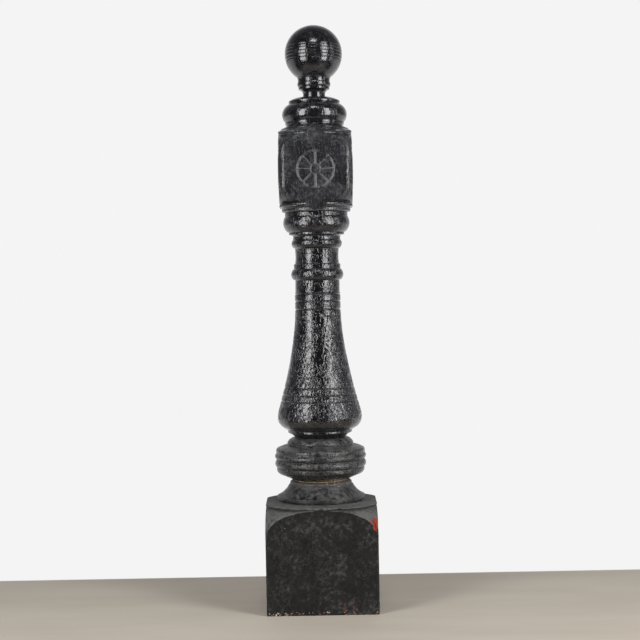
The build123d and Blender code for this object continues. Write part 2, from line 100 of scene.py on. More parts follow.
def ramp(values, low, high):
    """0 below low, 1 above high and a smooth rise in between. low may be the larger of the two."""
    part = np.clip((values - low) / (high - low), 0, 1)
    return part * part * (3 - 2 * part)


def around(points):
    """The direction of each point seen from above, in degrees: 0 in front, 90 to the right."""
    return np.degrees(np.arctan2(points[:, 0], -points[:, 1]))


def patch(points, centre, spread):
    """1 at a centre, fading away over the spread along x, y and z."""
    return np.exp(-((((points - centre) / spread) ** 2).sum(axis=1)))


def flecks(points, low, high, count, size, seed):
    """Small round spots strewn in a box: 1 at the middle of a spot and 0 outside them."""
    draw = np.random.default_rng(seed)
    middles = draw.uniform(low, high, (count, 3))
    sizes = size * draw.uniform(0.5, 1.3, count)
    found = np.zeros(len(points))
    near = np.where(((points > np.array(low) - size) & (points < np.array(high) + size)).all(axis=1))[0]
    for middle, width in zip(middles, sizes):
        apart = np.sqrt(((points[near] - middle) ** 2).sum(axis=1))
        found[near] = np.maximum(found[near], 1 - apart / width)
    return np.clip(found, 0, 1)


# ---------------------------------------------------------------- outlines taken from the CAD nodes

def slice_outline(node, direction):
    """Half of a CAD node's section as (radius, height) points, cut by the upright plane that leaves the axis
    in this direction. It runs up the outside, and down the bore where there is one."""
    turn = radians(direction)
    outward = Vector((sin(turn), -cos(turn), 0))
    sideways = Vector((cos(turn), sin(turn), 0))
    mesh = bmesh.new()
    mesh.from_mesh(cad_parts[node].data)
    bmesh.ops.remove_doubles(mesh, verts=mesh.verts, dist=1e-6)
    for normal, cleared in ((outward, True), (sideways, False)):
        everything = mesh.verts[:] + mesh.edges[:] + mesh.faces[:]
        cut = bmesh.ops.bisect_plane(
            mesh, geom=everything, plane_co=(0, 0, 0), plane_no=normal, clear_inner=cleared, dist=1e-7
        )["geom_cut"]
    beside = {}
    for edge in cut:
        if isinstance(edge, bmesh.types.BMEdge):
            first, second = edge.verts
            beside.setdefault(first, []).append(second)
            beside.setdefault(second, []).append(first)
    ends = [vertex for vertex in beside if len(beside[vertex]) == 1]
    here = min(ends or beside, key=lambda vertex: (round(vertex.co.z, 6), vertex.co.dot(outward)))
    path = [here]
    walked = {here}
    while True:
        onward = [vertex for vertex in beside[here] if vertex not in walked]
        if not onward:
            break
        here = onward[0]
        walked.add(here)
        path.append(here)
    points = np.array([(vertex.co.dot(outward), vertex.co.z) for vertex in path]) / MM
    mesh.free()
    area = np.sum(points[:, 0] * np.roll(points[:, 1], -1) - np.roll(points[:, 0], -1) * points[:, 1])
    return (points if area > 0 else points[::-1]), not ends


def lengths_along(points):
    """How far along a line each of its points is."""
    return np.concatenate([[0], np.cumsum(np.hypot(*np.diff(points, axis=0).T))])


def find_corners(points, least=18.0):
    """Where a line of points turns by at least this many degrees."""
    heading = np.degrees(np.arctan2(*np.diff(points, axis=0).T[::-1]))
    bend = np.abs((np.diff(heading) + 180) % 360 - 180)
    return np.where(bend > least)[0] + 1


def thin_out(points, closed):
    """Drops points that nearly coincide, and closes the line if it is a loop."""
    kept = [points[0]]
    for point in points[1:]:
        if np.hypot(*(point - kept[-1])) > 0.3:
            kept.append(point)
    if closed:
        kept.append(points[0])
    return np.array(kept)


def even_outline(points):
    """The outline at even steps. Between corners it follows a smooth curve through its points."""
    corners = [0, *find_corners(points), len(points) - 1]
    runs = []
    for first, last in zip(corners[:-1], corners[1:]):
        run = points[first : last + 1]
        along = lengths_along(run)
        if len(run) > 2:
            slope = np.gradient(run, along, axis=0)
        else:
            slope = np.repeat(np.diff(run, axis=0) / along[-1], 2, 0)
        at = np.linspace(0, along[-1], max(2, int(along[-1] / LINE_STEP)))
        index = np.clip(np.searchsorted(along, at, side="right") - 1, 0, len(run) - 2)
        gap = (along[index + 1] - along[index])[:, None]
        part = (at - along[index])[:, None] / gap
        curve = (
            (1 + 2 * part) * (1 - part) ** 2 * run[index]
            + part * (1 - part) ** 2 * gap * slope[index]
            + part**2 * (3 - 2 * part) * run[index + 1]
            + part**2 * (part - 1) * gap * slope[index + 1]
        )
        runs.append(curve[:-1])
    runs.append(points[-1:])
    return np.concatenate(runs)


def blurred(points, closed, width):
    """The line smoothed over a width, as a loop, or with its ends mirrored in the axis."""
    reach = int(3 * width / LINE_STEP)
    weights = np.exp(-0.5 * (np.arange(-reach, reach + 1) * LINE_STEP / width) ** 2)
    weights /= weights.sum()
    if closed:
        padded = np.concatenate([points[-reach - 1 : -1], points, points[1 : reach + 1]])
    else:
        mirror = np.array([-1, 1])
        padded = np.concatenate([points[reach:0:-1] * mirror, points, points[-2 : -reach - 2 : -1] * mirror])
    return np.stack([np.convolve(padded[:, axis], weights, "valid") for axis in (0, 1)], axis=1)


def spun_rows(node, fine, coarse, soften, hidden_radius):
    """The softened outline of a turned CAD node at the rows of its new mesh: close together at corners, far
    apart in its bore. Also says if the outline is a loop."""
    points, closed = slice_outline(node, 22.5)
    line = even_outline(thin_out(points, closed))
    away = np.full(len(line), 1e3)
    for corner in line[find_corners(line, 15.0)]:
        away = np.minimum(away, np.hypot(*(line - corner).T))
    calm = ramp(away, 2.0, 9.0)[:, None]
    soft = blurred(line, closed, soften) * (1 - calm) + blurred(line, closed, 2.0) * calm
    spacing = fine + (coarse - fine) * ramp(away, 0.8, 6.0)
    hidden = (soft[:, 0] < hidden_radius) & (soft[:, 1] < line[:, 1].max() - 8)
    spacing = np.where(hidden, HIDDEN_SPACING, spacing)
    along = lengths_along(soft)
    count = np.concatenate([[0], np.cumsum(np.diff(along) / spacing[:-1])])
    at = np.interp(np.linspace(0, count[-1], ceil(count[-1]) + 1), count, along)
    rows = np.stack([np.interp(at, along, soft[:, axis]) for axis in (0, 1)], axis=1)
    return (rows[:-1] if closed else rows), closed


# ---------------------------------------------------------------- meshes

def grid_mesh(name, grid, loop):
    """A closed mesh of a grid of points: rows run along the outline, columns run round the axis. loop says
    that the last row joins the first."""
    rows, columns = grid.shape[:2]
    lower = np.arange(rows if loop else rows - 1)
    upper = (lower + 1) % rows
    left = np.arange(columns)
    right = (left + 1) % columns
    corners = [(lower, left), (lower, right), (upper, right), (upper, left)]
    faces = np.stack([(row[:, None] * columns + column[None, :]).ravel() for row, column in corners], axis=1)
    mesh = bpy.data.meshes.new(name)
    mesh.vertices.add(rows * columns)
    mesh.vertices.foreach_set("co", grid.reshape(-1).astype(np.float32))
    mesh.loops.add(faces.size)
    mesh.loops.foreach_set("vertex_index", faces.ravel().astype(np.int32))
    mesh.polygons.add(len(faces))
    mesh.polygons.foreach_set("loop_start", np.arange(0, faces.size, 4, dtype=np.int32))
    mesh.update(calc_edges=True)
    return mesh


def relax(work, steps):
    """Moves every point halfway to the middle of its neighbours, some number of times."""
    for _ in range(steps):
        bmesh.ops.smooth_vert(
            work, verts=work.verts, factor=0.5, use_axis_x=True, use_axis_y=True, use_axis_z=True
        )


def tidied(mesh, smoothing):
    """Merges the points that coincide, rounds edges by some steps of smoothing, and measures how far each
    point stands out of (+) or sits below (-) the surface about it."""
    work = bmesh.new()
    work.from_mesh(mesh)
    bmesh.ops.remove_doubles(work, verts=work.verts, dist=0.02)
    bmesh.ops.dissolve_degenerate(work, edges=work.edges, dist=0.01)
    relax(work, smoothing)
    work.to_mesh(mesh)
    points, normals = read_points(mesh)
    relax(work, 6)
    calm = np.array([vertex.co[:] for vertex in work.verts])
    work.free()
    return points, normals, ((points - calm) * normals).sum(axis=1)


def read_points(mesh):
    """Where a mesh's points are, and which way its surface faces there."""
    points = np.zeros(len(mesh.vertices) * 3, np.float32)
    normals = np.zeros(len(mesh.vertices) * 3, np.float32)
    mesh.vertices.foreach_get("co", points)
    mesh.vertices.foreach_get("normal", normals)
    return points.reshape(-1, 3).astype(float), normals.reshape(-1, 3).astype(float)


# What the paint reads at each point: dust on it and wear of its edges, both also carrying a painted highlight
# on the rosettes' raised relief; chips, the tone of what a chip bares, splits in the wood, drawn with painted
# shade inside, and folds in the paint
MARKS = ("dust_and_highlight", "wear_and_highlight", "chip", "tone", "crack", "fold")
SEAT = 0.2  # how near a piece's end a level surface counts as its seat
FREE_TOP = 1200.0  # above this a piece's top carries nothing


def make_piece(node, mesh, weather, smoothing, material):
    """Weathers a mesh and puts it in the place of its CAD node. weather says how far each point moves along
    its normal, and how strong each mark is there. Level ends that touch the next piece stay where they are,
    and nothing leaves the CAD node's box."""
    points, normals, standing = tidied(mesh, smoothing)
    low, high = (np.array(corner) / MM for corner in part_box(node))
    shift, marks = weather(points, normals, standing)
    at_foot = points[:, 2] < low[2] + SEAT
    at_head = (points[:, 2] > high[2] - SEAT) & (high[2] < FREE_TOP)
    seated = (np.abs(normals[:, 2]) > 0.9) & (at_foot | at_head)
    shift = np.where(seated, 0, shift)
    moved = np.clip(points + normals * shift[:, None], low, high) * MM
    mesh.vertices.foreach_set("co", moved.ravel().astype(np.float32))
    for name in MARKS:
        values = np.broadcast_to(np.clip(marks.get(name, 0.0), 0, 1), len(points)).astype(np.float32)
        mesh.attributes.new(name, "FLOAT", "POINT").data.foreach_set("value", values)
    mesh.polygons.foreach_set("use_smooth", np.ones(len(mesh.polygons), bool))
    mesh.update()
    mesh.materials.append(material)
    piece = bpy.data.objects.new(node + "_painted", mesh)
    bpy.context.scene.collection.objects.link(piece)
    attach(piece, "root")
    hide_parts(node)


def turned_piece(node, weather, material, columns, fine=0.7, coarse=1.6, soften=0.4, hidden_radius=20):
    """A turned section, spun from its own CAD outline."""
    rows, loop = spun_rows(node, fine, coarse, soften, hidden_radius)
    radius, height = rows.T
    turns = np.arange(columns) * 2 * pi / columns
    level = [np.outer(radius, np.cos(turns)), np.outer(radius, np.sin(turns))]
    grid = np.stack([*level, np.outer(height, np.ones(columns))], axis=2)
    make_piece(node, grid_mesh(node + "_painted", grid, loop), weather, 0, material)


def square_rim(half_width, corner_centre, corner_radius, spacing, corner_steps):
    """Points round a square whose corners are arcs, seen from above, anticlockwise from the front left."""
    flat = corner_centre + sqrt(corner_radius**2 - (half_width - corner_centre) ** 2)
    side = [(x, -half_width) for x in np.linspace(-flat, flat, ceil(2 * flat / spacing) + 1)[:-1]]
    start = np.arctan2(-half_width + corner_centre, flat - corner_centre)
    for turn in np.linspace(start, -pi / 2 - start, corner_steps + 1)[:-1]:
        side.append((corner_centre + corner_radius * cos(turn), -corner_centre + corner_radius * sin(turn)))
    quarter = np.array(side)
    turns = [np.array([[cos(way), sin(way)], [-sin(way), cos(way)]]) for way in (0, pi / 2, pi, 3 * pi / 2)]
    return np.concatenate([quarter @ turn for turn in turns])


def clipped_rows(run, limits, half_width, spacing):
    """One stretch of a block's outline, row by row, for every column. Where it would reach past the column's
    limit it is the flat face instead. Rows never change from face to turned surface between columns."""
    length = lengths_along(run)[-1]
    along = lengths_along(run) / length
    radius, height = run.T
    steps = np.linspace(0, 1, max(1, ceil(length / spacing)) + 1)[1:]

    def turned_rows(low, high):
        at = [low + (high - low) * step for step in steps]
        return [(np.minimum(np.interp(t, along, radius), limits), np.interp(t, along, height)) for t in at]

    upright = np.ptp(radius) < 0.3
    if upright or radius.max() < half_width:
        return turned_rows(np.zeros(len(limits)), np.ones(len(limits)))

    outward = radius[-1] > radius[0]
    sense = 1 if outward else -1
    tilt = 1e-6 * along  # keeps the radius rising along a stretch that stands nearly upright
    meeting = np.interp(sense * limits, sense * radius + tilt, along)
    meet_radius = np.minimum(np.interp(meeting, along, radius), limits)
    meet_height = np.interp(meeting, along, height)
    climb = abs(height[-1] - height[0])
    face_count = ceil(climb / spacing) if climb > 0.3 else 0

    def face_rows(low, high):
        return [(meet_radius, low + (high - low) * part) for part in np.linspace(0, 1, face_count + 1)[1:]]

    if outward:
        return turned_rows(0, meeting) + face_rows(meet_height, height[-1])
    return face_rows(height[0], meet_height) + turned_rows(meeting, 1)


def block_piece(node, weather, material, half_width, rim, spacing, dowel_band, smoothing):
    """A square block with turned ends: its outline through a corner, cut back to the square in each column.
    dowel_band is where, out from the axis, the outline runs into dowel holes, which are left out."""
    points, closed = slice_outline(node, 45)
    low, high = dowel_band
    radius, height = points.T
    in_hole = (radius > low) & (radius < high) & (np.abs(height - height.max()) > 0.1)
    line = thin_out(points[~in_hole], closed)
    limits = np.hypot(*rim.T)
    corners = [0, *find_corners(line), len(line) - 1]
    rows = []
    for first, last in zip(corners[:-1], corners[1:]):
        run = line[first : last + 1]
        peak = int(np.argmax(run[:, 0]))
        if 0 < peak < len(run) - 1 and min(run[0, 0], run[-1, 0]) < run[peak, 0] - 0.5:
            level = np.where(run[:, 0] > run[peak, 0] - 0.2)[0]
            middle = (run[level[0]] + run[level[-1]]) / 2
            parts = [np.vstack([run[: level[0] + 1], middle]), np.vstack([middle, run[level[-1] :]])]
        else:
            parts = [run]
        for part in parts:
            hidden = part[:, 0].max() < 60
            rows += clipped_rows(part, limits, half_width, HIDDEN_SPACING if hidden else spacing)
    ways = rim / limits[:, None]
    grid = np.stack([np.column_stack([ways * radius[:, None], height]) for radius, height in rows])
    make_piece(node, grid_mesh(node + "_painted", grid, True), weather, smoothing, material)


# ---------------------------------------------------------------- how each section has weathered

# What a chip bares, as places in the colour ramp of bared_colour
RED, DULL_RED, BROWN, TAN, PALE = 0.0, 0.22, 0.35, 0.55, 1.0

# The scrapes on the plinth block: place across, lower end, upper end and width
SCRAPES = ((44, 10, 34, 2.6), (49, 4, 18, 2.2), (62, 12, 42, 2.2), (69, 4, 24, 2.2), (75, 8, 20, 2.0))


def coat(points, seed, lump=0.12, lump_size=15.0, grit=0.03, inward=0.12):
    """The uneven thickness of many coats of paint."""
    return lump * noise(points, lump_size, seed, 2) + grit * noise(points, 3.0, seed + 5) - inward


def settled_dust(points, normals, standing, seed):
    """Dust on whatever faces up, and in the hollows."""
    up = ramp(normals[:, 2], 0.15, 0.9)
    return up * (0.65 + 0.35 * noise(points, 12.0, seed, 2)) + ramp(-standing, 0.04, 0.3) * 0.6


def rubbed_edges(points, standing, seed):
    """Wear on the edges that stand out."""
    return ramp(standing, 0.06, 0.3) * (0.55 + 0.7 * noise(points, 9.0, seed, 2))


# The crack marks are also drawn near black by the paint, as painted shade inside the splits.
def split(points, turn, low, high, width, seed):
    """A crack that runs up the grain at a direction, between two heights."""
    radius = np.hypot(points[:, 0], points[:, 1])
    wander = 1.2 * noise(points * [0, 0, 1], 14.0, seed, 2)
    sideways = np.abs((around(points) - turn) * radius * pi / 180 - wander)
    height = points[:, 2]
    ends = ramp(height, low, low + 4) * ramp(height, high, high - 4)
    return np.clip(1 - sideways / width, 0, 1) * ends


def splits(points, runs, seed):
    """Several cracks, each given as its direction, lower end, upper end and width."""
    return np.maximum.reduce([split(points, *run, seed + index) for index, run in enumerate(runs)])


def weather_ball(points, normals, standing):
    """Gloss paint that half fills the grooves."""
    shift = coat(points, 3, lump=0.16, lump_size=17, grit=0.035) - 0.7 * ramp(-standing, 0.02, 0.12)
    marks = {
        "dust_and_highlight": 0.35 * settled_dust(points, normals, standing, 4),
        "wear_and_highlight": rubbed_edges(points, standing, 6),
    }
    return shift, marks


def weather_cap(points, normals, standing):
    """Gloss paint, with splits in the torus at the right of the front."""
    shift = coat(points, 13, lump=0.2, lump_size=15, grit=0.04)
    crack = splits(points, ((34, 1018, 1052, 1.5), (40, 1014, 1042, 1.3), (15, 1020, 1036, 1.2)), 1)
    shift -= 0.5 * crack
    marks = {
        "dust_and_highlight": 0.5 * settled_dust(points, normals, standing, 14),
        "wear_and_highlight": rubbed_edges(points, standing, 16),
        "crack": crack,
    }
    return shift, marks


def weather_block(points, normals, standing):
    """Lumpy, crazed paint, worn most at the two ends."""
    film = swirled(points, 18.0, 4.0, 21)
    cells = ridges(film, (7.0, 7.0, 9.0), 24)
    shift = coat(points, 23, lump=0.14, lump_size=12, grit=0.1, inward=0.3) + 0.1 * cells
    end = ramp(np.abs(points[:, 2] - BLOCK_MIDDLE), 62, 75)
    marks = {
        "dust_and_highlight": 0.4 * settled_dust(points, normals, standing, 27),
        "wear_and_highlight": rubbed_edges(points, standing, 26) * (0.7 + end),
        # Crazing, whose lines the paint draws with painted shade
        "crack": 0.5 * ramp(noise(film, (4.0, 4.0, 7.0), 28, 2), 0.4, 0.65),
    }
    return shift, marks


def weather_shaft(points, normals, standing):
    """Paint that has wrinkled on the bell, least high on its left, with one slanting scratch low in front."""
    height = points[:, 2]
    turn = around(points)
    film = swirled(points, (16.0, 16.0, 30.0), 7.0, 31)
    folds = ridges(film, (8.0, 8.0, 13.0), 34) + 0.45 * ridges(film, (4.5, 4.5, 7.0), 35)
    on_bell = ramp(height, 376, 396) * ramp(height, 624, 607)
    left_smooth = ramp(turn, 2, -8) * ramp(turn, -75, -60) * ramp(height, 550, 564)
    rough = on_bell * (1 - 0.75 * left_smooth) * (0.75 + 0.5 * noise(points, (40, 40, 60), 36))
    rough = np.maximum(rough, 0.22)
    shift = coat(points, 33, lump=0.14, lump_size=13, grit=0.03, inward=0.2)
    shift += 0.9 * rough * (folds - 0.45)
    shift -= 0.4 * ramp(-standing, 0.05, 0.25)
    scratch = np.clip(1 - np.abs((height - 396) - 0.9 * (turn + 21)) / 2.0, 0, 1)
    scratch *= ramp(turn, -27, -25) * ramp(turn, -14, -16) * (height > 384) * (height < 406)
    shift -= 0.3 * scratch
    folded = ramp(noise(points, (30, 30, 50), 39), -0.5, 0.4)
    marks = {
        "dust_and_highlight": 0.3 * settled_dust(points, normals, standing, 37),
        "wear_and_highlight": np.maximum(0.8 * rubbed_edges(points, standing, 38), 0.9 * scratch),
        "fold": 1.2 * on_bell * (1 - 0.8 * left_smooth) * folded,
    }
    return shift, marks


def weather_collar(points, normals, standing):
    """Thick dusty paint, split in two places, and gone at the foot where the joint below is open."""
    height = points[:, 2]
    shift = coat(points, 43, lump=0.2, lump_size=14, grit=0.05, inward=0.3)
    shift += 0.1 * ridges(swirled(points, 14.0, 4.0, 41), (9.0, 9.0, 4.0), 44)
    foot = ramp(height, 277, 268)
    front_right = patch(points, (30, -60, 267), (38, 30, 9))
    bare = foot * front_right * (0.75 + 1.6 * noise(points, 6.0, 45, 2))
    crack = splits(points, ((52, 272, 322, 1.3), (-35, 267, 294, 1.2)), 4)
    shift -= 0.5 * bare + 0.4 * crack
    marks = {
        "dust_and_highlight": 0.1 + 0.7 * settled_dust(points, normals, standing, 46),
        "wear_and_highlight": rubbed_edges(points, standing, 47),
        "chip": bare,
        "tone": 0.75 + 0.7 * noise(points, 7.0, 48, 2),
        "crack": crack,
    }
    return shift, marks


def weather_plinth_cap(points, normals, standing):
    """Dull dusty paint, split at the right of the front, and broken on the bead at its top."""
    height = points[:, 2]
    shift = coat(points, 53, lump=0.16, lump_size=16, grit=0.04, inward=0.25)
    crack = splits(points, ((42, 230, 257, 1.2), (50, 234, 263, 1.2), (58, 226, 255, 1.2)), 6)
    bead = ramp(height, 252.5, 255.5)
    front_right = patch(points, (35, -60, 260), (50, 50, 20))
    bare = bead * (0.25 + 0.9 * noise(points, 9.0, 55, 2)) * (0.5 + 0.5 * front_right)
    fleck = flecks(points, (36, -66, 248), (46, -54, 254), 3, 3.0, 56)
    shift -= 0.4 * crack + 0.35 * ramp(bare, 0.2, 0.6)
    marks = {
        "dust_and_highlight": 0.1 + 0.6 * settled_dust(points, normals, standing, 57) + 0.45 * bead,
        "wear_and_highlight": rubbed_edges(points, standing, 58),
        "chip": np.maximum(bare, 1.5 * fleck),
        "tone": np.where(fleck > 0, 1.0, 0.7 + 0.5 * noise(points, 6.0, 59)),
        "crack": crack,
    }
    return shift, marks


def scraped(points):
    """Scrapes low on the front of the plinth block, leaning a little, from 0 to 1."""
    x, y, height = points.T
    found = np.zeros(len(points))
    for place, low, high, width in SCRAPES:
        line = np.clip(1 - np.abs(x - (place + 0.12 * (height - 20))) / width, 0, 1)
        found = np.maximum(found, line * ramp(height, low, low + 5) * ramp(height, high, high - 5))
    return found * (y < -113.5)


def weather_plinth(points, normals, standing):
    """Dull paint with knocked lower edges, dust on the turned shoulder, and one corner broken away."""
    x, y, height = points.T
    ring = ramp(height, 214.5, 217)
    spandrel = (1 - ring) * ramp(height, 150, 170) * ramp(normals[:, 2], 0.02, 0.12)
    shift = coat(points, 63, lump=0.2, lump_size=22, grit=0.05, inward=0.35)
    shift += 0.1 * ridges(swirled(points, 25.0, 6.0, 61), (10.0, 10.0, 18.0), 64)
    # The corner at the right of the front, where the paint has broken away down to an old red coat, and a few
    # pale bits above it
    corner = patch(points, (112, -109, 186), (10, 13, 19)) + 0.5 * noise(points, 6.0, 65, 2)
    torn = ramp(corner, 0.3, 0.5) * (x > 85)
    bits = flecks(points, (100, -119, 196), (118, -96, 212), 5, 4.0, 66)
    # Knocks along the lower edges, scrapes, and pale specks over the front
    front_knocks = flecks(points, (-117, -118, 0), (117, -114, 7), 75, 3.6, 67)
    side_knocks = flecks(points, (113, -117, 0), (118, 117, 8), 25, 3.6, 74)
    knocks = np.maximum(front_knocks, side_knocks)
    scrapes = scraped(points)
    face_specks = flecks(points, (-116, -117, 6), (112, -114.5, 190), 14, 1.8, 69)
    shoulder_specks = flecks(points, (-112, -117, 165), (-75, -113, 208), 26, 2.0, 75)
    specks = np.maximum(face_specks, shoulder_specks)
    # The two right-hand corners, rubbed down to brown wood near the floor
    arris = ramp(np.minimum(np.abs(x), np.abs(y)), 110.5, 113.5) * (x > 0) * ramp(height, 95, 20)
    brown = arris * ramp(noise(points, (9, 9, 22), 68, 2), 0.0, 0.45)
    shift -= 0.9 * torn + 0.6 * ramp(knocks, 0.2, 0.7) + 0.3 * scrapes + 0.6 * ramp(height, 6, 1)
    tone = np.full(len(points), TAN)
    tone = np.where(scrapes > 0, DULL_RED, tone)
    tone = np.where(torn > 0.1, RED, tone)
    tone = np.where(brown > 0.2, BROWN, tone)
    tone = np.where(knocks > 0, np.clip(0.7 + 0.5 * noise(points, 25.0, 71), 0.45, 1), tone)
    tone = np.where((bits > 0) | (specks > 0), PALE, tone)
    ring_edge = ring * ramp(standing, 0.05, 0.2) * (0.5 + noise(points, 11.0, 70, 2))
    specks = np.maximum(1.3 * bits, 0.9 * specks * (specks > 0.3))
    marks = {
        "dust_and_highlight": 1.05 * spandrel + ring * (0.7 + 0.7 * settled_dust(points, normals, standing, 72)),
        "wear_and_highlight": np.maximum(0.7 * rubbed_edges(points, standing, 73), ring_edge),
        "chip": np.maximum.reduce([1.2 * torn, 0.9 * knocks, 0.7 * scrapes, 0.75 * brown, specks]),
        "tone": tone,
    }
    return shift, marks


def weather_putty(points, normals, standing):
    """Filler that stands out to the edge of the joint at the right of the front and lies deep elsewhere."""
    right = patch(points, (28, -50, 265), (34, 30, 20))
    out = ramp(points[:, 0] ** 2 + points[:, 1] ** 2, 45**2, 55**2)
    shift = out * (-3.2 + 4.4 * right + 0.8 * noise(points, 6.0, 81, 2))
    return shift, {"dust_and_highlight": 0.5 - 0.5 * right, "tone": 0.7 + 0.5 * noise(points, 7.0, 82)}


# ---------------------------------------------------------------- materials

def add_node(tree, kind, inputs=None, **settings):
    """Adds a shader node. inputs sets its sockets by name or number, to a value or from another socket."""
    made = tree.nodes.new(kind)
    for name, value in settings.items():
        setattr(made, name, value)
    for name, value in (inputs or {}).items():
        if isinstance(value, bpy.types.NodeSocket):
            tree.links.new(value, made.inputs[name])
        else:
            made.inputs[name].default_value = value
    return made


def new_material(name):
    """A material, its node tree, its shader and the socket that gives the place on the object in metres."""
    material = bpy.data.materials.new(name)
    material.use_nodes = True
    tree = material.node_tree
    surface = tree.nodes["Principled BSDF"]
    place = add_node(tree, "ShaderNodeTexCoord").outputs["Object"]
    return material, tree, surface, place


def mark(tree, name):
    """One of a piece's MARKS."""
    return add_node(tree, "ShaderNodeAttribute", attribute_name=name).outputs["Fac"]


def stretched(tree, place, stretch):
    return add_node(tree, "ShaderNodeMapping", {"Vector": place, "Scale": stretch}).outputs[0]


def pattern(tree, place, scale, detail=3.0, stretch=(1, 1, 1), roughness=0.55, distortion=0.0):
    """Noise from 0 to 1 over the surface. scale is in lumps per metre."""
    inputs = {"Vector": stretched(tree, place, stretch), "Scale": scale}
    inputs.update({"Detail": detail, "Roughness": roughness, "Distortion": distortion})
    return add_node(tree, "ShaderNodeTexNoise", inputs).outputs["Fac"]


def maths(tree, operation, first, second=0.0, third=0.0, clamp=False):
    inputs = {0: first, 1: second, 2: third}
    return add_node(tree, "ShaderNodeMath", inputs, operation=operation, use_clamp=clamp).outputs[0]


def rise(tree, value, low, high, start=0.0, end=1.0):
    """The value stretched from low..high to start..end, smoothly."""
    inputs = {"Value": value, "From Min": low, "From Max": high, "To Min": start, "To Max": end}
    return add_node(tree, "ShaderNodeMapRange", inputs, interpolation_type="SMOOTHSTEP").outputs["Result"]


def uneven(tree, value, ground, amount, low=0.3, high=0.7):
    """The value, more in some places and less in others."""
    return maths(tree, "ADD", value, rise(tree, ground, low, high, -amount, amount))


def middle_line(tree, value):
    """How far noise is from its middle value. It is 0 along winding lines."""
    return maths(tree, "ABSOLUTE", maths(tree, "SUBTRACT", value, 0.5))


def blend(tree, share, first, second):
    """Two colours mixed."""
    factor, first_colour, second_colour, result = 0, 6, 7, 2  # the node's sockets for colours
    inputs = {factor: share, first_colour: first, second_colour: second}
    return add_node(tree, "ShaderNodeMix", inputs, data_type="RGBA").outputs[result]


def rgb(red, green, blue):
    """A colour given in the 0 to 255 of a screen, as light."""
    parts = [part / 255 for part in (red, green, blue)]
    light = [((part + 0.055) / 1.055) ** 2.4 if part > 0.04 else part / 12.92 for part in parts]
    return (*light, 1.0)


def colours(tree, value, stops):
    """A colour ramp of (position, colour) stops."""
    made = add_node(tree, "ShaderNodeValToRGB", {"Fac": value})
    points = made.color_ramp.elements
    while len(points) < len(stops):
        points.new(0.5)
    for point, (position, colour) in zip(points, stops):
        point.position = position
        point.color = colour
    return made.outputs["Color"]


SCUFF = rgb(112, 112, 112)
# Rubbed paint, also the painted highlight on a rosette's crests
RUBBED_AND_HIGHLIGHT = rgb(92, 91, 91)
WOOD_GRAIN = rgb(70, 46, 36)
# Painted shade inside the splits and the crazing
SPLIT_SHADE = rgb(10, 9, 9)


def scuff_lines(tree, place):
    """Thin winding scuffs, in patches."""
    lines = middle_line(tree, pattern(tree, place, 75, 5, (1, 1, 0.8), 0.7))
    patches = rise(tree, pattern(tree, place, 28, 2), 0.42, 0.62, 0.15, 1.0)
    return maths(tree, "MULTIPLY", rise(tree, lines, 0.0, 0.03, 1, 0), patches)


def crazed_lines(tree, place):
    """Fine crazing: the edges of small upright cells."""
    inputs = {"Vector": stretched(tree, place, (1, 1, 0.45)), "Scale": 190.0}
    cells = add_node(tree, "ShaderNodeTexVoronoi", inputs, feature="DISTANCE_TO_EDGE").outputs["Distance"]
    return rise(tree, cells, 0.0, 0.09, 1, 0)


def bared_colour(tree, place):
    """What shows where paint is gone, by the tone mark: an old red coat, brown wood, filler."""
    stops = [
        (0.0, rgb(158, 54, 34)),
        (0.15, rgb(104, 44, 42)),
        (0.38, rgb(98, 60, 44)),
        (0.62, rgb(150, 118, 82)),
        (1.0, rgb(206, 198, 180)),
    ]
    bared = colours(tree, mark(tree, "tone"), stops)
    wood = pattern(tree, place, 300, 4, (1, 1, 0.15))
    return blend(tree, rise(tree, wood, 0.35, 0.65, 0, 0.45), bared, WOOD_GRAIN)


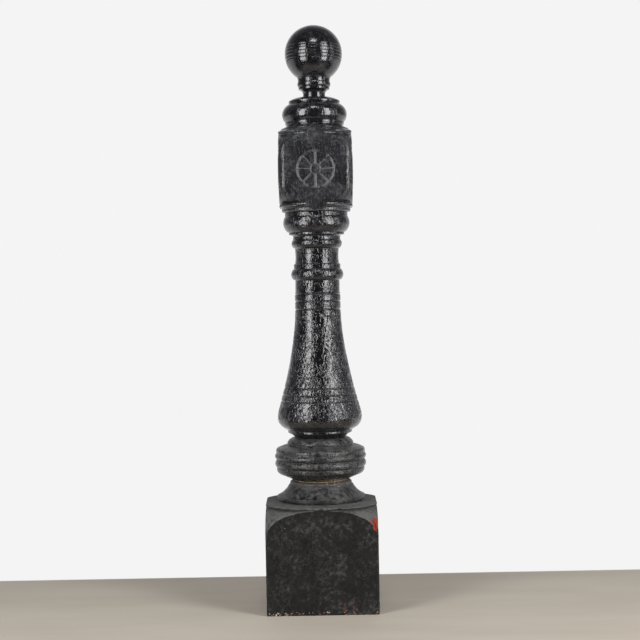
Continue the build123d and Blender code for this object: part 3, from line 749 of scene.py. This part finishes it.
def old_paint(name, dark, light, dusty, *, gloss, streaks, crackle, coat_share, grain, scuffed, wrinkled):
    """Old black paint. dark and light are its two blacks, dusty is the colour of its dust and of the painted
    highlight on a rosette's raised relief, gloss its roughness, streaks the stretch of its brush marks along
    x, y and z, and coat_share its clear coat. crackle and grain are how deep its crazing and its fine lumps
    are in millimetres, wrinkled is how deep its wrinkles are, and scuffed is how grey its scuffs are."""
    material, tree, surface, place = new_material(name)
    broad = pattern(tree, place, 22, 4)
    middle = pattern(tree, place, 110, 2)
    fine = pattern(tree, place, 700, 3)
    grit = pattern(tree, place, 300, 1)
    brushed = pattern(tree, place, 90, 4, streaks)

    dust_and_highlight = uneven(tree, uneven(tree, mark(tree, "dust_and_highlight"), middle, 0.3), broad, 0.15, 0.35, 0.65)
    dust_and_highlight = rise(tree, dust_and_highlight, 0.1, 1.1)
    worn_and_highlit = rise(tree, uneven(tree, mark(tree, "wear_and_highlight"), middle, 0.35), 0.35, 0.9)
    torn = rise(tree, uneven(tree, mark(tree, "chip"), pattern(tree, place, 260, 3), 0.25), 0.45, 0.58)
    # Where the splits and the crazing are: their relief, and the painted shade drawn inside them
    split_and_shade = rise(tree, uneven(tree, mark(tree, "crack"), fine, 0.1), 0.5, 0.7)

    colour = blend(tree, rise(tree, broad, 0.3, 0.7), dark, light)
    colour = blend(tree, rise(tree, brushed, 0.55, 0.8, 0, 0.5), colour, light)
    colour = blend(tree, maths(tree, "MULTIPLY", scuff_lines(tree, place), scuffed), colour, SCUFF)
    # Dust, and on the rosettes a painted highlight on the raised relief, in the dusty colour
    colour = blend(tree, dust_and_highlight, colour, dusty)
    # Rubbed edges, and on the rosettes a painted highlight on the crests
    colour = blend(tree, maths(tree, "MULTIPLY", worn_and_highlit, 0.35), colour, RUBBED_AND_HIGHLIGHT)
    colour = blend(tree, torn, colour, bared_colour(tree, place))
    # Painted shade inside the splits and the crazing
    colour = blend(tree, split_and_shade, colour, SPLIT_SHADE)
    tree.links.new(colour, surface.inputs["Base Color"])

    rough = rise(tree, middle, 0.25, 0.75, gloss * 0.8, gloss * 1.25)
    rough = maths(tree, "ADD", rough, maths(tree, "MULTIPLY", dust_and_highlight, 0.35))
    rough = maths(tree, "ADD", rough, maths(tree, "MULTIPLY", worn_and_highlit, 0.12))
    rough = maths(tree, "MAXIMUM", rough, maths(tree, "MULTIPLY", torn, 0.8), clamp=True)
    tree.links.new(rough, surface.inputs["Roughness"])
    surface.inputs["IOR"].default_value = 1.5
    surface.inputs["Coat Weight"].default_value = coat_share
    surface.inputs["Coat Roughness"].default_value = 0.05
    surface.inputs["Specular IOR Level"].default_value = 0.5 if gloss < 0.45 else 0.3

    flow = pattern(tree, place, 120, 1, (1, 1, 0.75), 0.5, 1.6)
    wrinkles = maths(tree, "MULTIPLY_ADD", middle_line(tree, flow), -2.0, flow)
    folded = rise(tree, mark(tree, "fold"), 0.0, 1.0, 2.0 * wrinkled, 4.5 * wrinkled)
    relief = maths(tree, "MULTIPLY", middle, 0.25)
    for shape, depth in (
        (brushed, 0.12),
        (wrinkles, folded),
        (grit, grain),
        (fine, 0.015),
        (crazed_lines(tree, place), -crackle),
        (torn, -0.4),
        (split_and_shade, -0.6),
    ):
        relief = maths(tree, "MULTIPLY_ADD", shape, depth, relief)
    bump = add_node(tree, "ShaderNodeBump", {"Height": relief, "Distance": MM, "Strength": 1.0})
    tree.links.new(bump.outputs["Normal"], surface.inputs["Normal"])
    tree.links.new(bump.outputs["Normal"], surface.inputs["Coat Normal"])
    return material


def plain_grain(name, first, second, third, *, scale, stretch=(1, 1, 1), roughness, metal=0, depth):
    """Bare wood, iron or filler: three colours in a stretched grain. depth is its relief in metres."""
    material, tree, surface, place = new_material(name)
    grain = pattern(tree, place, scale, 5, stretch)
    blotch = pattern(tree, place, scale * 0.3, 3)
    colour = colours(tree, grain, [(0.3, first), (0.5, second), (0.72, third)])
    colour = blend(tree, rise(tree, blotch, 0.5, 0.75, 0, 0.6), colour, first)
    tree.links.new(colour, surface.inputs["Base Color"])
    rough = rise(tree, blotch, 0.3, 0.7, roughness - 0.1, roughness + 0.1)
    tree.links.new(rough, surface.inputs["Roughness"])
    surface.inputs["Metallic"].default_value = metal
    bump = add_node(tree, "ShaderNodeBump", {"Height": grain, "Distance": depth, "Strength": 0.8})
    tree.links.new(bump.outputs["Normal"], surface.inputs["Normal"])
    return material


# ---------------------------------------------------------------- rosettes

RING_RADIUS = 37.8
FIELD_DEPTH = -3.4
ROSETTE_BACK = -6.0
INSET = 0.3  # how much lower all of it is set, so that the coats of paint stay within the node's box
STILL_BELOW = -3.7  # from the block's face; deeper points keep their places
NOWHERE = -9.0  # deep enough that soft_max leaves it out


def soft_max(first, second, width):
    """The higher of two surfaces, with a rounded join this wide."""
    part = np.clip(0.5 + 0.5 * (first - second) / width, 0, 1)
    return second + (first - second) * part + width * part * (1 - part)


def half_round(offset, half_width, centre_depth):
    """The height of a half-round moulding across its width, relative to the face."""
    inside = np.clip(1 - (offset / half_width) ** 2, 0, None)
    return np.where(np.abs(offset) < half_width, half_width * np.sqrt(inside) - centre_depth, NOWHERE)


def rosette_relief(across, up):
    """The height of a rosette's front over the block's face: a sunk field, a ring, eight spokes, a hub."""
    distance = np.hypot(across, up)
    ledge = np.where(distance > 35.2, -1.6, NOWHERE)
    surface = soft_max(np.full(distance.shape, FIELD_DEPTH), ledge, 1.2)
    for spoke in range(8):
        way = spoke * pi / 4
        sideways = across * sin(way) - up * cos(way)
        forward = across * cos(way) + up * sin(way)
        half_width = 3.4 + 0.03 * (forward - 24)
        on = (forward > 9.5) & (forward < 38)
        surface = soft_max(surface, np.where(on, half_round(sideways, half_width, 2.0), NOWHERE), 0.8)
    disc = np.where(distance < 11.3, -1.5, NOWHERE)
    hub = soft_max(disc, half_round(distance - 10.2, 2.0, 0.9), 0.5)
    surface = soft_max(surface, hub, 0.6)
    surface = soft_max(surface, half_round(distance - RING_RADIUS, 3.1, 1.2), 0.8)
    falling = np.minimum(surface, 0.15 - 1.0 * (distance - 41.0))
    return np.where(distance > 41.0, falling, surface)


def rosette_piece(side, turn, material):
    """A spoked roundel, its ring, spokes and hub flowing together under the paint."""
    node = side + "_rosette"
    low, high = (np.array(corner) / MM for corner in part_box(node))
    middle_height = (low[2] + high[2]) / 2
    outer = (high[2] - low[2]) / 2
    block_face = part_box("upper_block")[1].x / MM
    columns = 288
    reach = np.linspace(0, outer + 1.4, 82)
    angles = np.arange(columns) * 2 * pi / columns
    across, up = np.outer(reach, np.cos(angles)), np.outer(reach, np.sin(angles))
    # The front, then three rows that close the rim and the back
    rim = [np.full((1, columns), level) for level in (-1.6, ROSETTE_BACK, ROSETTE_BACK)]
    depth = np.concatenate([rosette_relief(across, up), *rim])
    across = np.concatenate([across, *(across[-1:] * part for part in (0.98, 0.94, 0.0))])
    up = np.concatenate([up, *(up[-1:] * part for part in (0.98, 0.94, 0.0))])
    way = radians(turn)
    outward = np.array([sin(way), -cos(way), 0.0])
    sideways = np.array([cos(way), sin(way), 0.0])
    upward = np.array([0.0, 0.0, 1.0])
    flat = across[..., None] * sideways + up[..., None] * upward
    sunk = (block_face + depth - INSET)[..., None] * outward
    grid = (flat + sunk + np.array([0.0, 0.0, middle_height]))[::-1]
    seed = 90 + turn // 45

    def weather(points, normals, standing):
        shift = coat(points, seed, lump=0.13, lump_size=8, grit=0.05, inward=0.0)
        outstand = points @ outward - block_face
        # The raised ring, spokes and hub are drawn lighter than the sunk field, as a painted highlight on the
        # relief
        crest_highlight = ramp(outstand, -2.2, -0.8)
        settled = settled_dust(points, normals, standing, seed + 1)
        # Real dust and rubbed edges, plus a painted highlight: the raised relief drawn lighter in both marks
        marks = {
            "dust_and_highlight": 0.1 * settled + 0.3 * ramp(outstand, -1.9, -0.6),
            "wear_and_highlight": np.maximum(1.4 * rubbed_edges(points, standing, seed + 2), 0.8 * crest_highlight),
        }
        return np.where(outstand < STILL_BELOW, 0, shift), marks

    make_piece(node, grid_mesh(node + "_painted", grid, False), weather, 0, material)


# ---------------------------------------------------------------- build

BLACK_LOW = rgb(13, 13, 16)
BLACK_HIGH = rgb(23, 23, 27)
GREY_DUST_AND_HIGHLIGHT = rgb(84, 85, 88)
gloss_paint = old_paint(
    "gloss_paint", BLACK_LOW, BLACK_HIGH, rgb(76, 77, 80),
    gloss=0.13, streaks=(1, 1, 0.4), crackle=0.03, coat_share=0.5, grain=0.12, scuffed=0.15, wrinkled=0.1,
)
block_paint = old_paint(
    "crazed_paint", rgb(24, 24, 27), rgb(40, 40, 44), GREY_DUST_AND_HIGHLIGHT,
    gloss=0.24, streaks=(1, 1, 1), crackle=0.1, coat_share=0.4, grain=0.55, scuffed=0.4, wrinkled=0.06,
)
# The dust and wear colours of this paint also draw the painted highlight on the rosettes' raised relief
rosette_paint = old_paint(
    "rosette_paint", rgb(9, 9, 11), rgb(22, 22, 25), GREY_DUST_AND_HIGHLIGHT,
    gloss=0.2, streaks=(1, 1, 1), crackle=0.03, coat_share=0.5, grain=0.12, scuffed=0.15, wrinkled=0.03,
)
shaft_paint = old_paint(
    "wrinkled_paint", BLACK_LOW, BLACK_HIGH, rgb(80, 81, 84),
    gloss=0.13, streaks=(1, 1, 0.7), crackle=0.04, coat_share=0.5, grain=0.12, scuffed=0.12, wrinkled=0.3,
)
collar_paint = old_paint(
    "collar_paint", rgb(12, 12, 14), rgb(27, 27, 29), rgb(84, 83, 82),
    gloss=0.27, streaks=(1, 1, 2), crackle=0.12, coat_share=0.2, grain=0.45, scuffed=0.35, wrinkled=0.35,
)
cone_paint = old_paint(
    "cone_paint", rgb(11, 12, 14), rgb(27, 28, 30), rgb(82, 81, 80),
    gloss=0.38, streaks=(1, 1, 2), crackle=0.12, coat_share=0.1, grain=0.3, scuffed=0.4, wrinkled=0.15,
)
plinth_paint = old_paint(
    "plinth_paint", rgb(12, 12, 13), rgb(24, 24, 24), rgb(94, 94, 92),
    gloss=0.5, streaks=(1, 1, 0.5), crackle=0.08, coat_share=0, grain=0.2, scuffed=0.18, wrinkled=0.05,
)
filler = plain_grain(
    "filler", rgb(92, 74, 56), rgb(176, 156, 124), rgb(206, 192, 164),
    scale=260, roughness=0.85, depth=0.0006,
)
hardwood = plain_grain(
    "dowel_wood", rgb(122, 88, 58), rgb(158, 120, 80), rgb(184, 146, 102),
    scale=240, stretch=(1, 1, 0.06), roughness=0.65, depth=0.0003,
)
iron = plain_grain(
    "rusted_iron", rgb(52, 38, 32), rgb(78, 66, 60), rgb(112, 74, 52),
    scale=180, roughness=0.6, metal=0.75, depth=0.0004,
)

turned_piece("ball_finial", weather_ball, gloss_paint, 300, fine=0.55, coarse=1.5, soften=0.3)
turned_piece("cap_moulding", weather_cap, gloss_paint, 300)
turned_piece("shaft", weather_shaft, shaft_paint, 280, coarse=1.9)
turned_piece("collar", weather_collar, collar_paint, 320)
turned_piece("plinth_cap", weather_plinth_cap, cone_paint, 300)
turned_piece(
    "putty_bed", weather_putty, filler, 240, fine=0.5, coarse=0.8, soften=0.2, hidden_radius=0
)
# The upper block's corners were turned off to a radius about its axis. The plinth block's are just rounded.
upper_rim = square_rim(BLOCK_HALF, corner_centre=0, corner_radius=101.6, spacing=1.8, corner_steps=8)
block_piece(
    "upper_block", weather_block, block_paint, BLOCK_HALF, upper_rim,
    spacing=1.7, dowel_band=(35, 49), smoothing=3,
)
plinth_rim = square_rim(PLINTH_HALF, corner_centre=112, corner_radius=4, spacing=2.05, corner_steps=6)
block_piece(
    "plinth_block", weather_plinth, plinth_paint, PLINTH_HALF, plinth_rim,
    spacing=2.05, dowel_band=(0, 0), smoothing=2,
)
for side, turn in (("front", 0), ("right", 90), ("back", 180), ("left", 270)):
    rosette_piece(side, turn, rosette_paint)

# The nodes that keep their CAD meshes
DOWELS = ("finial_dowel", "cap_dowels", "block_dowels", "shaft_dowels", "collar_dowels", "plinth_dowels")
IRONWORK = ("tie_rod", "top_nut", "top_washer", "bottom_nut", "bottom_washer", "rosette_pins")
for material, nodes in ((hardwood, DOWELS), (iron, IRONWORK)):
    for node in nodes:
        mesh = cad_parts[node].data
        mesh.materials.clear()
        mesh.materials.append(material)

# ---------------------------------------------------------------- stage, light and camera

WHITE = rgb(244, 244, 244)
FLOOR = rgb(196, 187, 173)
FLOOR_SHADE = rgb(176, 165, 148)
FLOOR_LEVEL = -0.0003  # just under the post, in metres, as are the four sizes below
FLOOR_BACK = 0.30  # behind the post, where the floor meets the white
FLOOR_REACH = 1.0  # to the front and to each side
FLOOR_BLEND = 0.008  # how wide the change from floor to white is
WHITE_REACH = 9.0


def flat_corners(left, right, front, back):
    """The corners of a level rectangle, anticlockwise."""
    return [(x, y, FLOOR_LEVEL) for x, y in ((left, front), (right, front), (right, back), (left, back))]


def make_floor():
    """A plain pale floor that runs into white some way behind the post."""
    mesh = bpy.data.meshes.new("floor")
    near = flat_corners(-FLOOR_REACH, FLOOR_REACH, -FLOOR_REACH, FLOOR_BACK)
    far = flat_corners(-WHITE_REACH, WHITE_REACH, FLOOR_BACK, WHITE_REACH)
    mesh.from_pydata(near + far, [], [(0, 1, 2, 3), (4, 5, 6, 7)])
    floor = bpy.data.objects.new("floor", mesh)
    bpy.context.scene.collection.objects.link(floor)
    material, tree, surface, place = new_material("floor")
    clouds = pattern(tree, place, 9, 4, (0.25, 1, 1))
    colour = blend(tree, rise(tree, clouds, 0.3, 0.7, 0, 0.35), FLOOR, FLOOR_SHADE)
    tree.links.new(colour, surface.inputs["Base Color"])
    surface.inputs["Roughness"].default_value = 0.7
    depth = add_node(tree, "ShaderNodeSeparateXYZ", {"Vector": place}).outputs["Y"]
    share = rise(tree, depth, FLOOR_BACK - FLOOR_BLEND, FLOOR_BACK)
    glow = add_node(tree, "ShaderNodeEmission", {"Color": WHITE, "Strength": 1.0}).outputs[0]
    mixed = add_node(tree, "ShaderNodeMixShader", {0: share, 1: surface.outputs[0], 2: glow}).outputs[0]
    tree.links.new(mixed, tree.nodes["Material Output"].inputs["Surface"])
    mesh.materials.append(material)


def make_room():
    """What surrounds the post: white to the eye, but its light comes mostly from behind the post."""
    world = bpy.data.worlds.new("studio")
    bpy.context.scene.world = world
    world.use_nodes = True
    tree = world.node_tree
    direction = add_node(tree, "ShaderNodeTexCoord").outputs["Generated"]
    backward = add_node(tree, "ShaderNodeSeparateXYZ", {"Vector": direction}).outputs["Y"]
    stops = [
        (0.1, (0.006, 0.006, 0.007, 1)),
        (0.5, (0.06, 0.06, 0.064, 1)),
        (0.8, (0.22, 0.22, 0.23, 1)),
        (0.97, (0.7, 0.7, 0.72, 1)),
    ]
    room = colours(tree, maths(tree, "MULTIPLY_ADD", backward, 0.5, 0.5), stops)
    seen = add_node(tree, "ShaderNodeLightPath").outputs["Is Camera Ray"]
    tree.links.new(blend(tree, seen, room, WHITE), tree.nodes["Background"].inputs["Color"])


def softbox(name, azimuth, distance, height, width, tall, radiance, tilt=0.0):
    """A rectangular light that faces the post. radiance is how bright its face is."""
    turn = radians(azimuth)
    data = bpy.data.lights.new(name, "AREA")
    data.shape = "RECTANGLE"
    data.size = width
    data.size_y = tall
    data.energy = radiance * pi * width * tall
    lamp = bpy.data.objects.new(name, data)
    bpy.context.scene.collection.objects.link(lamp)
    lamp.location = (distance * sin(turn), -distance * cos(turn), height)
    lamp.rotation_euler = (pi / 2 - radians(tilt), 0, turn)
    lamp.visible_camera = False


def make_camera(distance, height, aside, down, roll, lens):
    """A camera straight in front of the post, turned aside, down and about its own line of sight."""
    data = bpy.data.cameras.new("camera")
    data.lens = lens
    data.sensor_width = 36
    camera = bpy.data.objects.new("camera", data)
    bpy.context.scene.collection.objects.link(camera)
    place = Matrix.Translation((0, -distance, height))
    look = Matrix.Rotation(-aside, 4, "Z") @ Matrix.Rotation(pi / 2 - down, 4, "X")
    camera.matrix_world = place @ look @ Matrix.Rotation(roll, 4, "Z")
    bpy.context.scene.camera = camera


make_floor()
make_room()
softbox("left_softbox", -44, 2.0, 1.25, 0.75, 2.3, radiance=8.0)
softbox("right_softbox", 47, 2.0, 1.25, 0.75, 2.3, radiance=8.5)
softbox("right_strip", 80, 2.0, 1.25, 0.25, 2.0, radiance=3.0)
softbox("front_top", 0, 1.35, 2.6, 0.56, 0.42, radiance=10.0, tilt=48)
make_camera(
    distance=3.12, height=0.690, lens=83.25,
    aside=radians(0.07355535), down=radians(1.641), roll=radians(-1.03),
)
bpy.context.scene.view_settings.view_transform = "Standard"
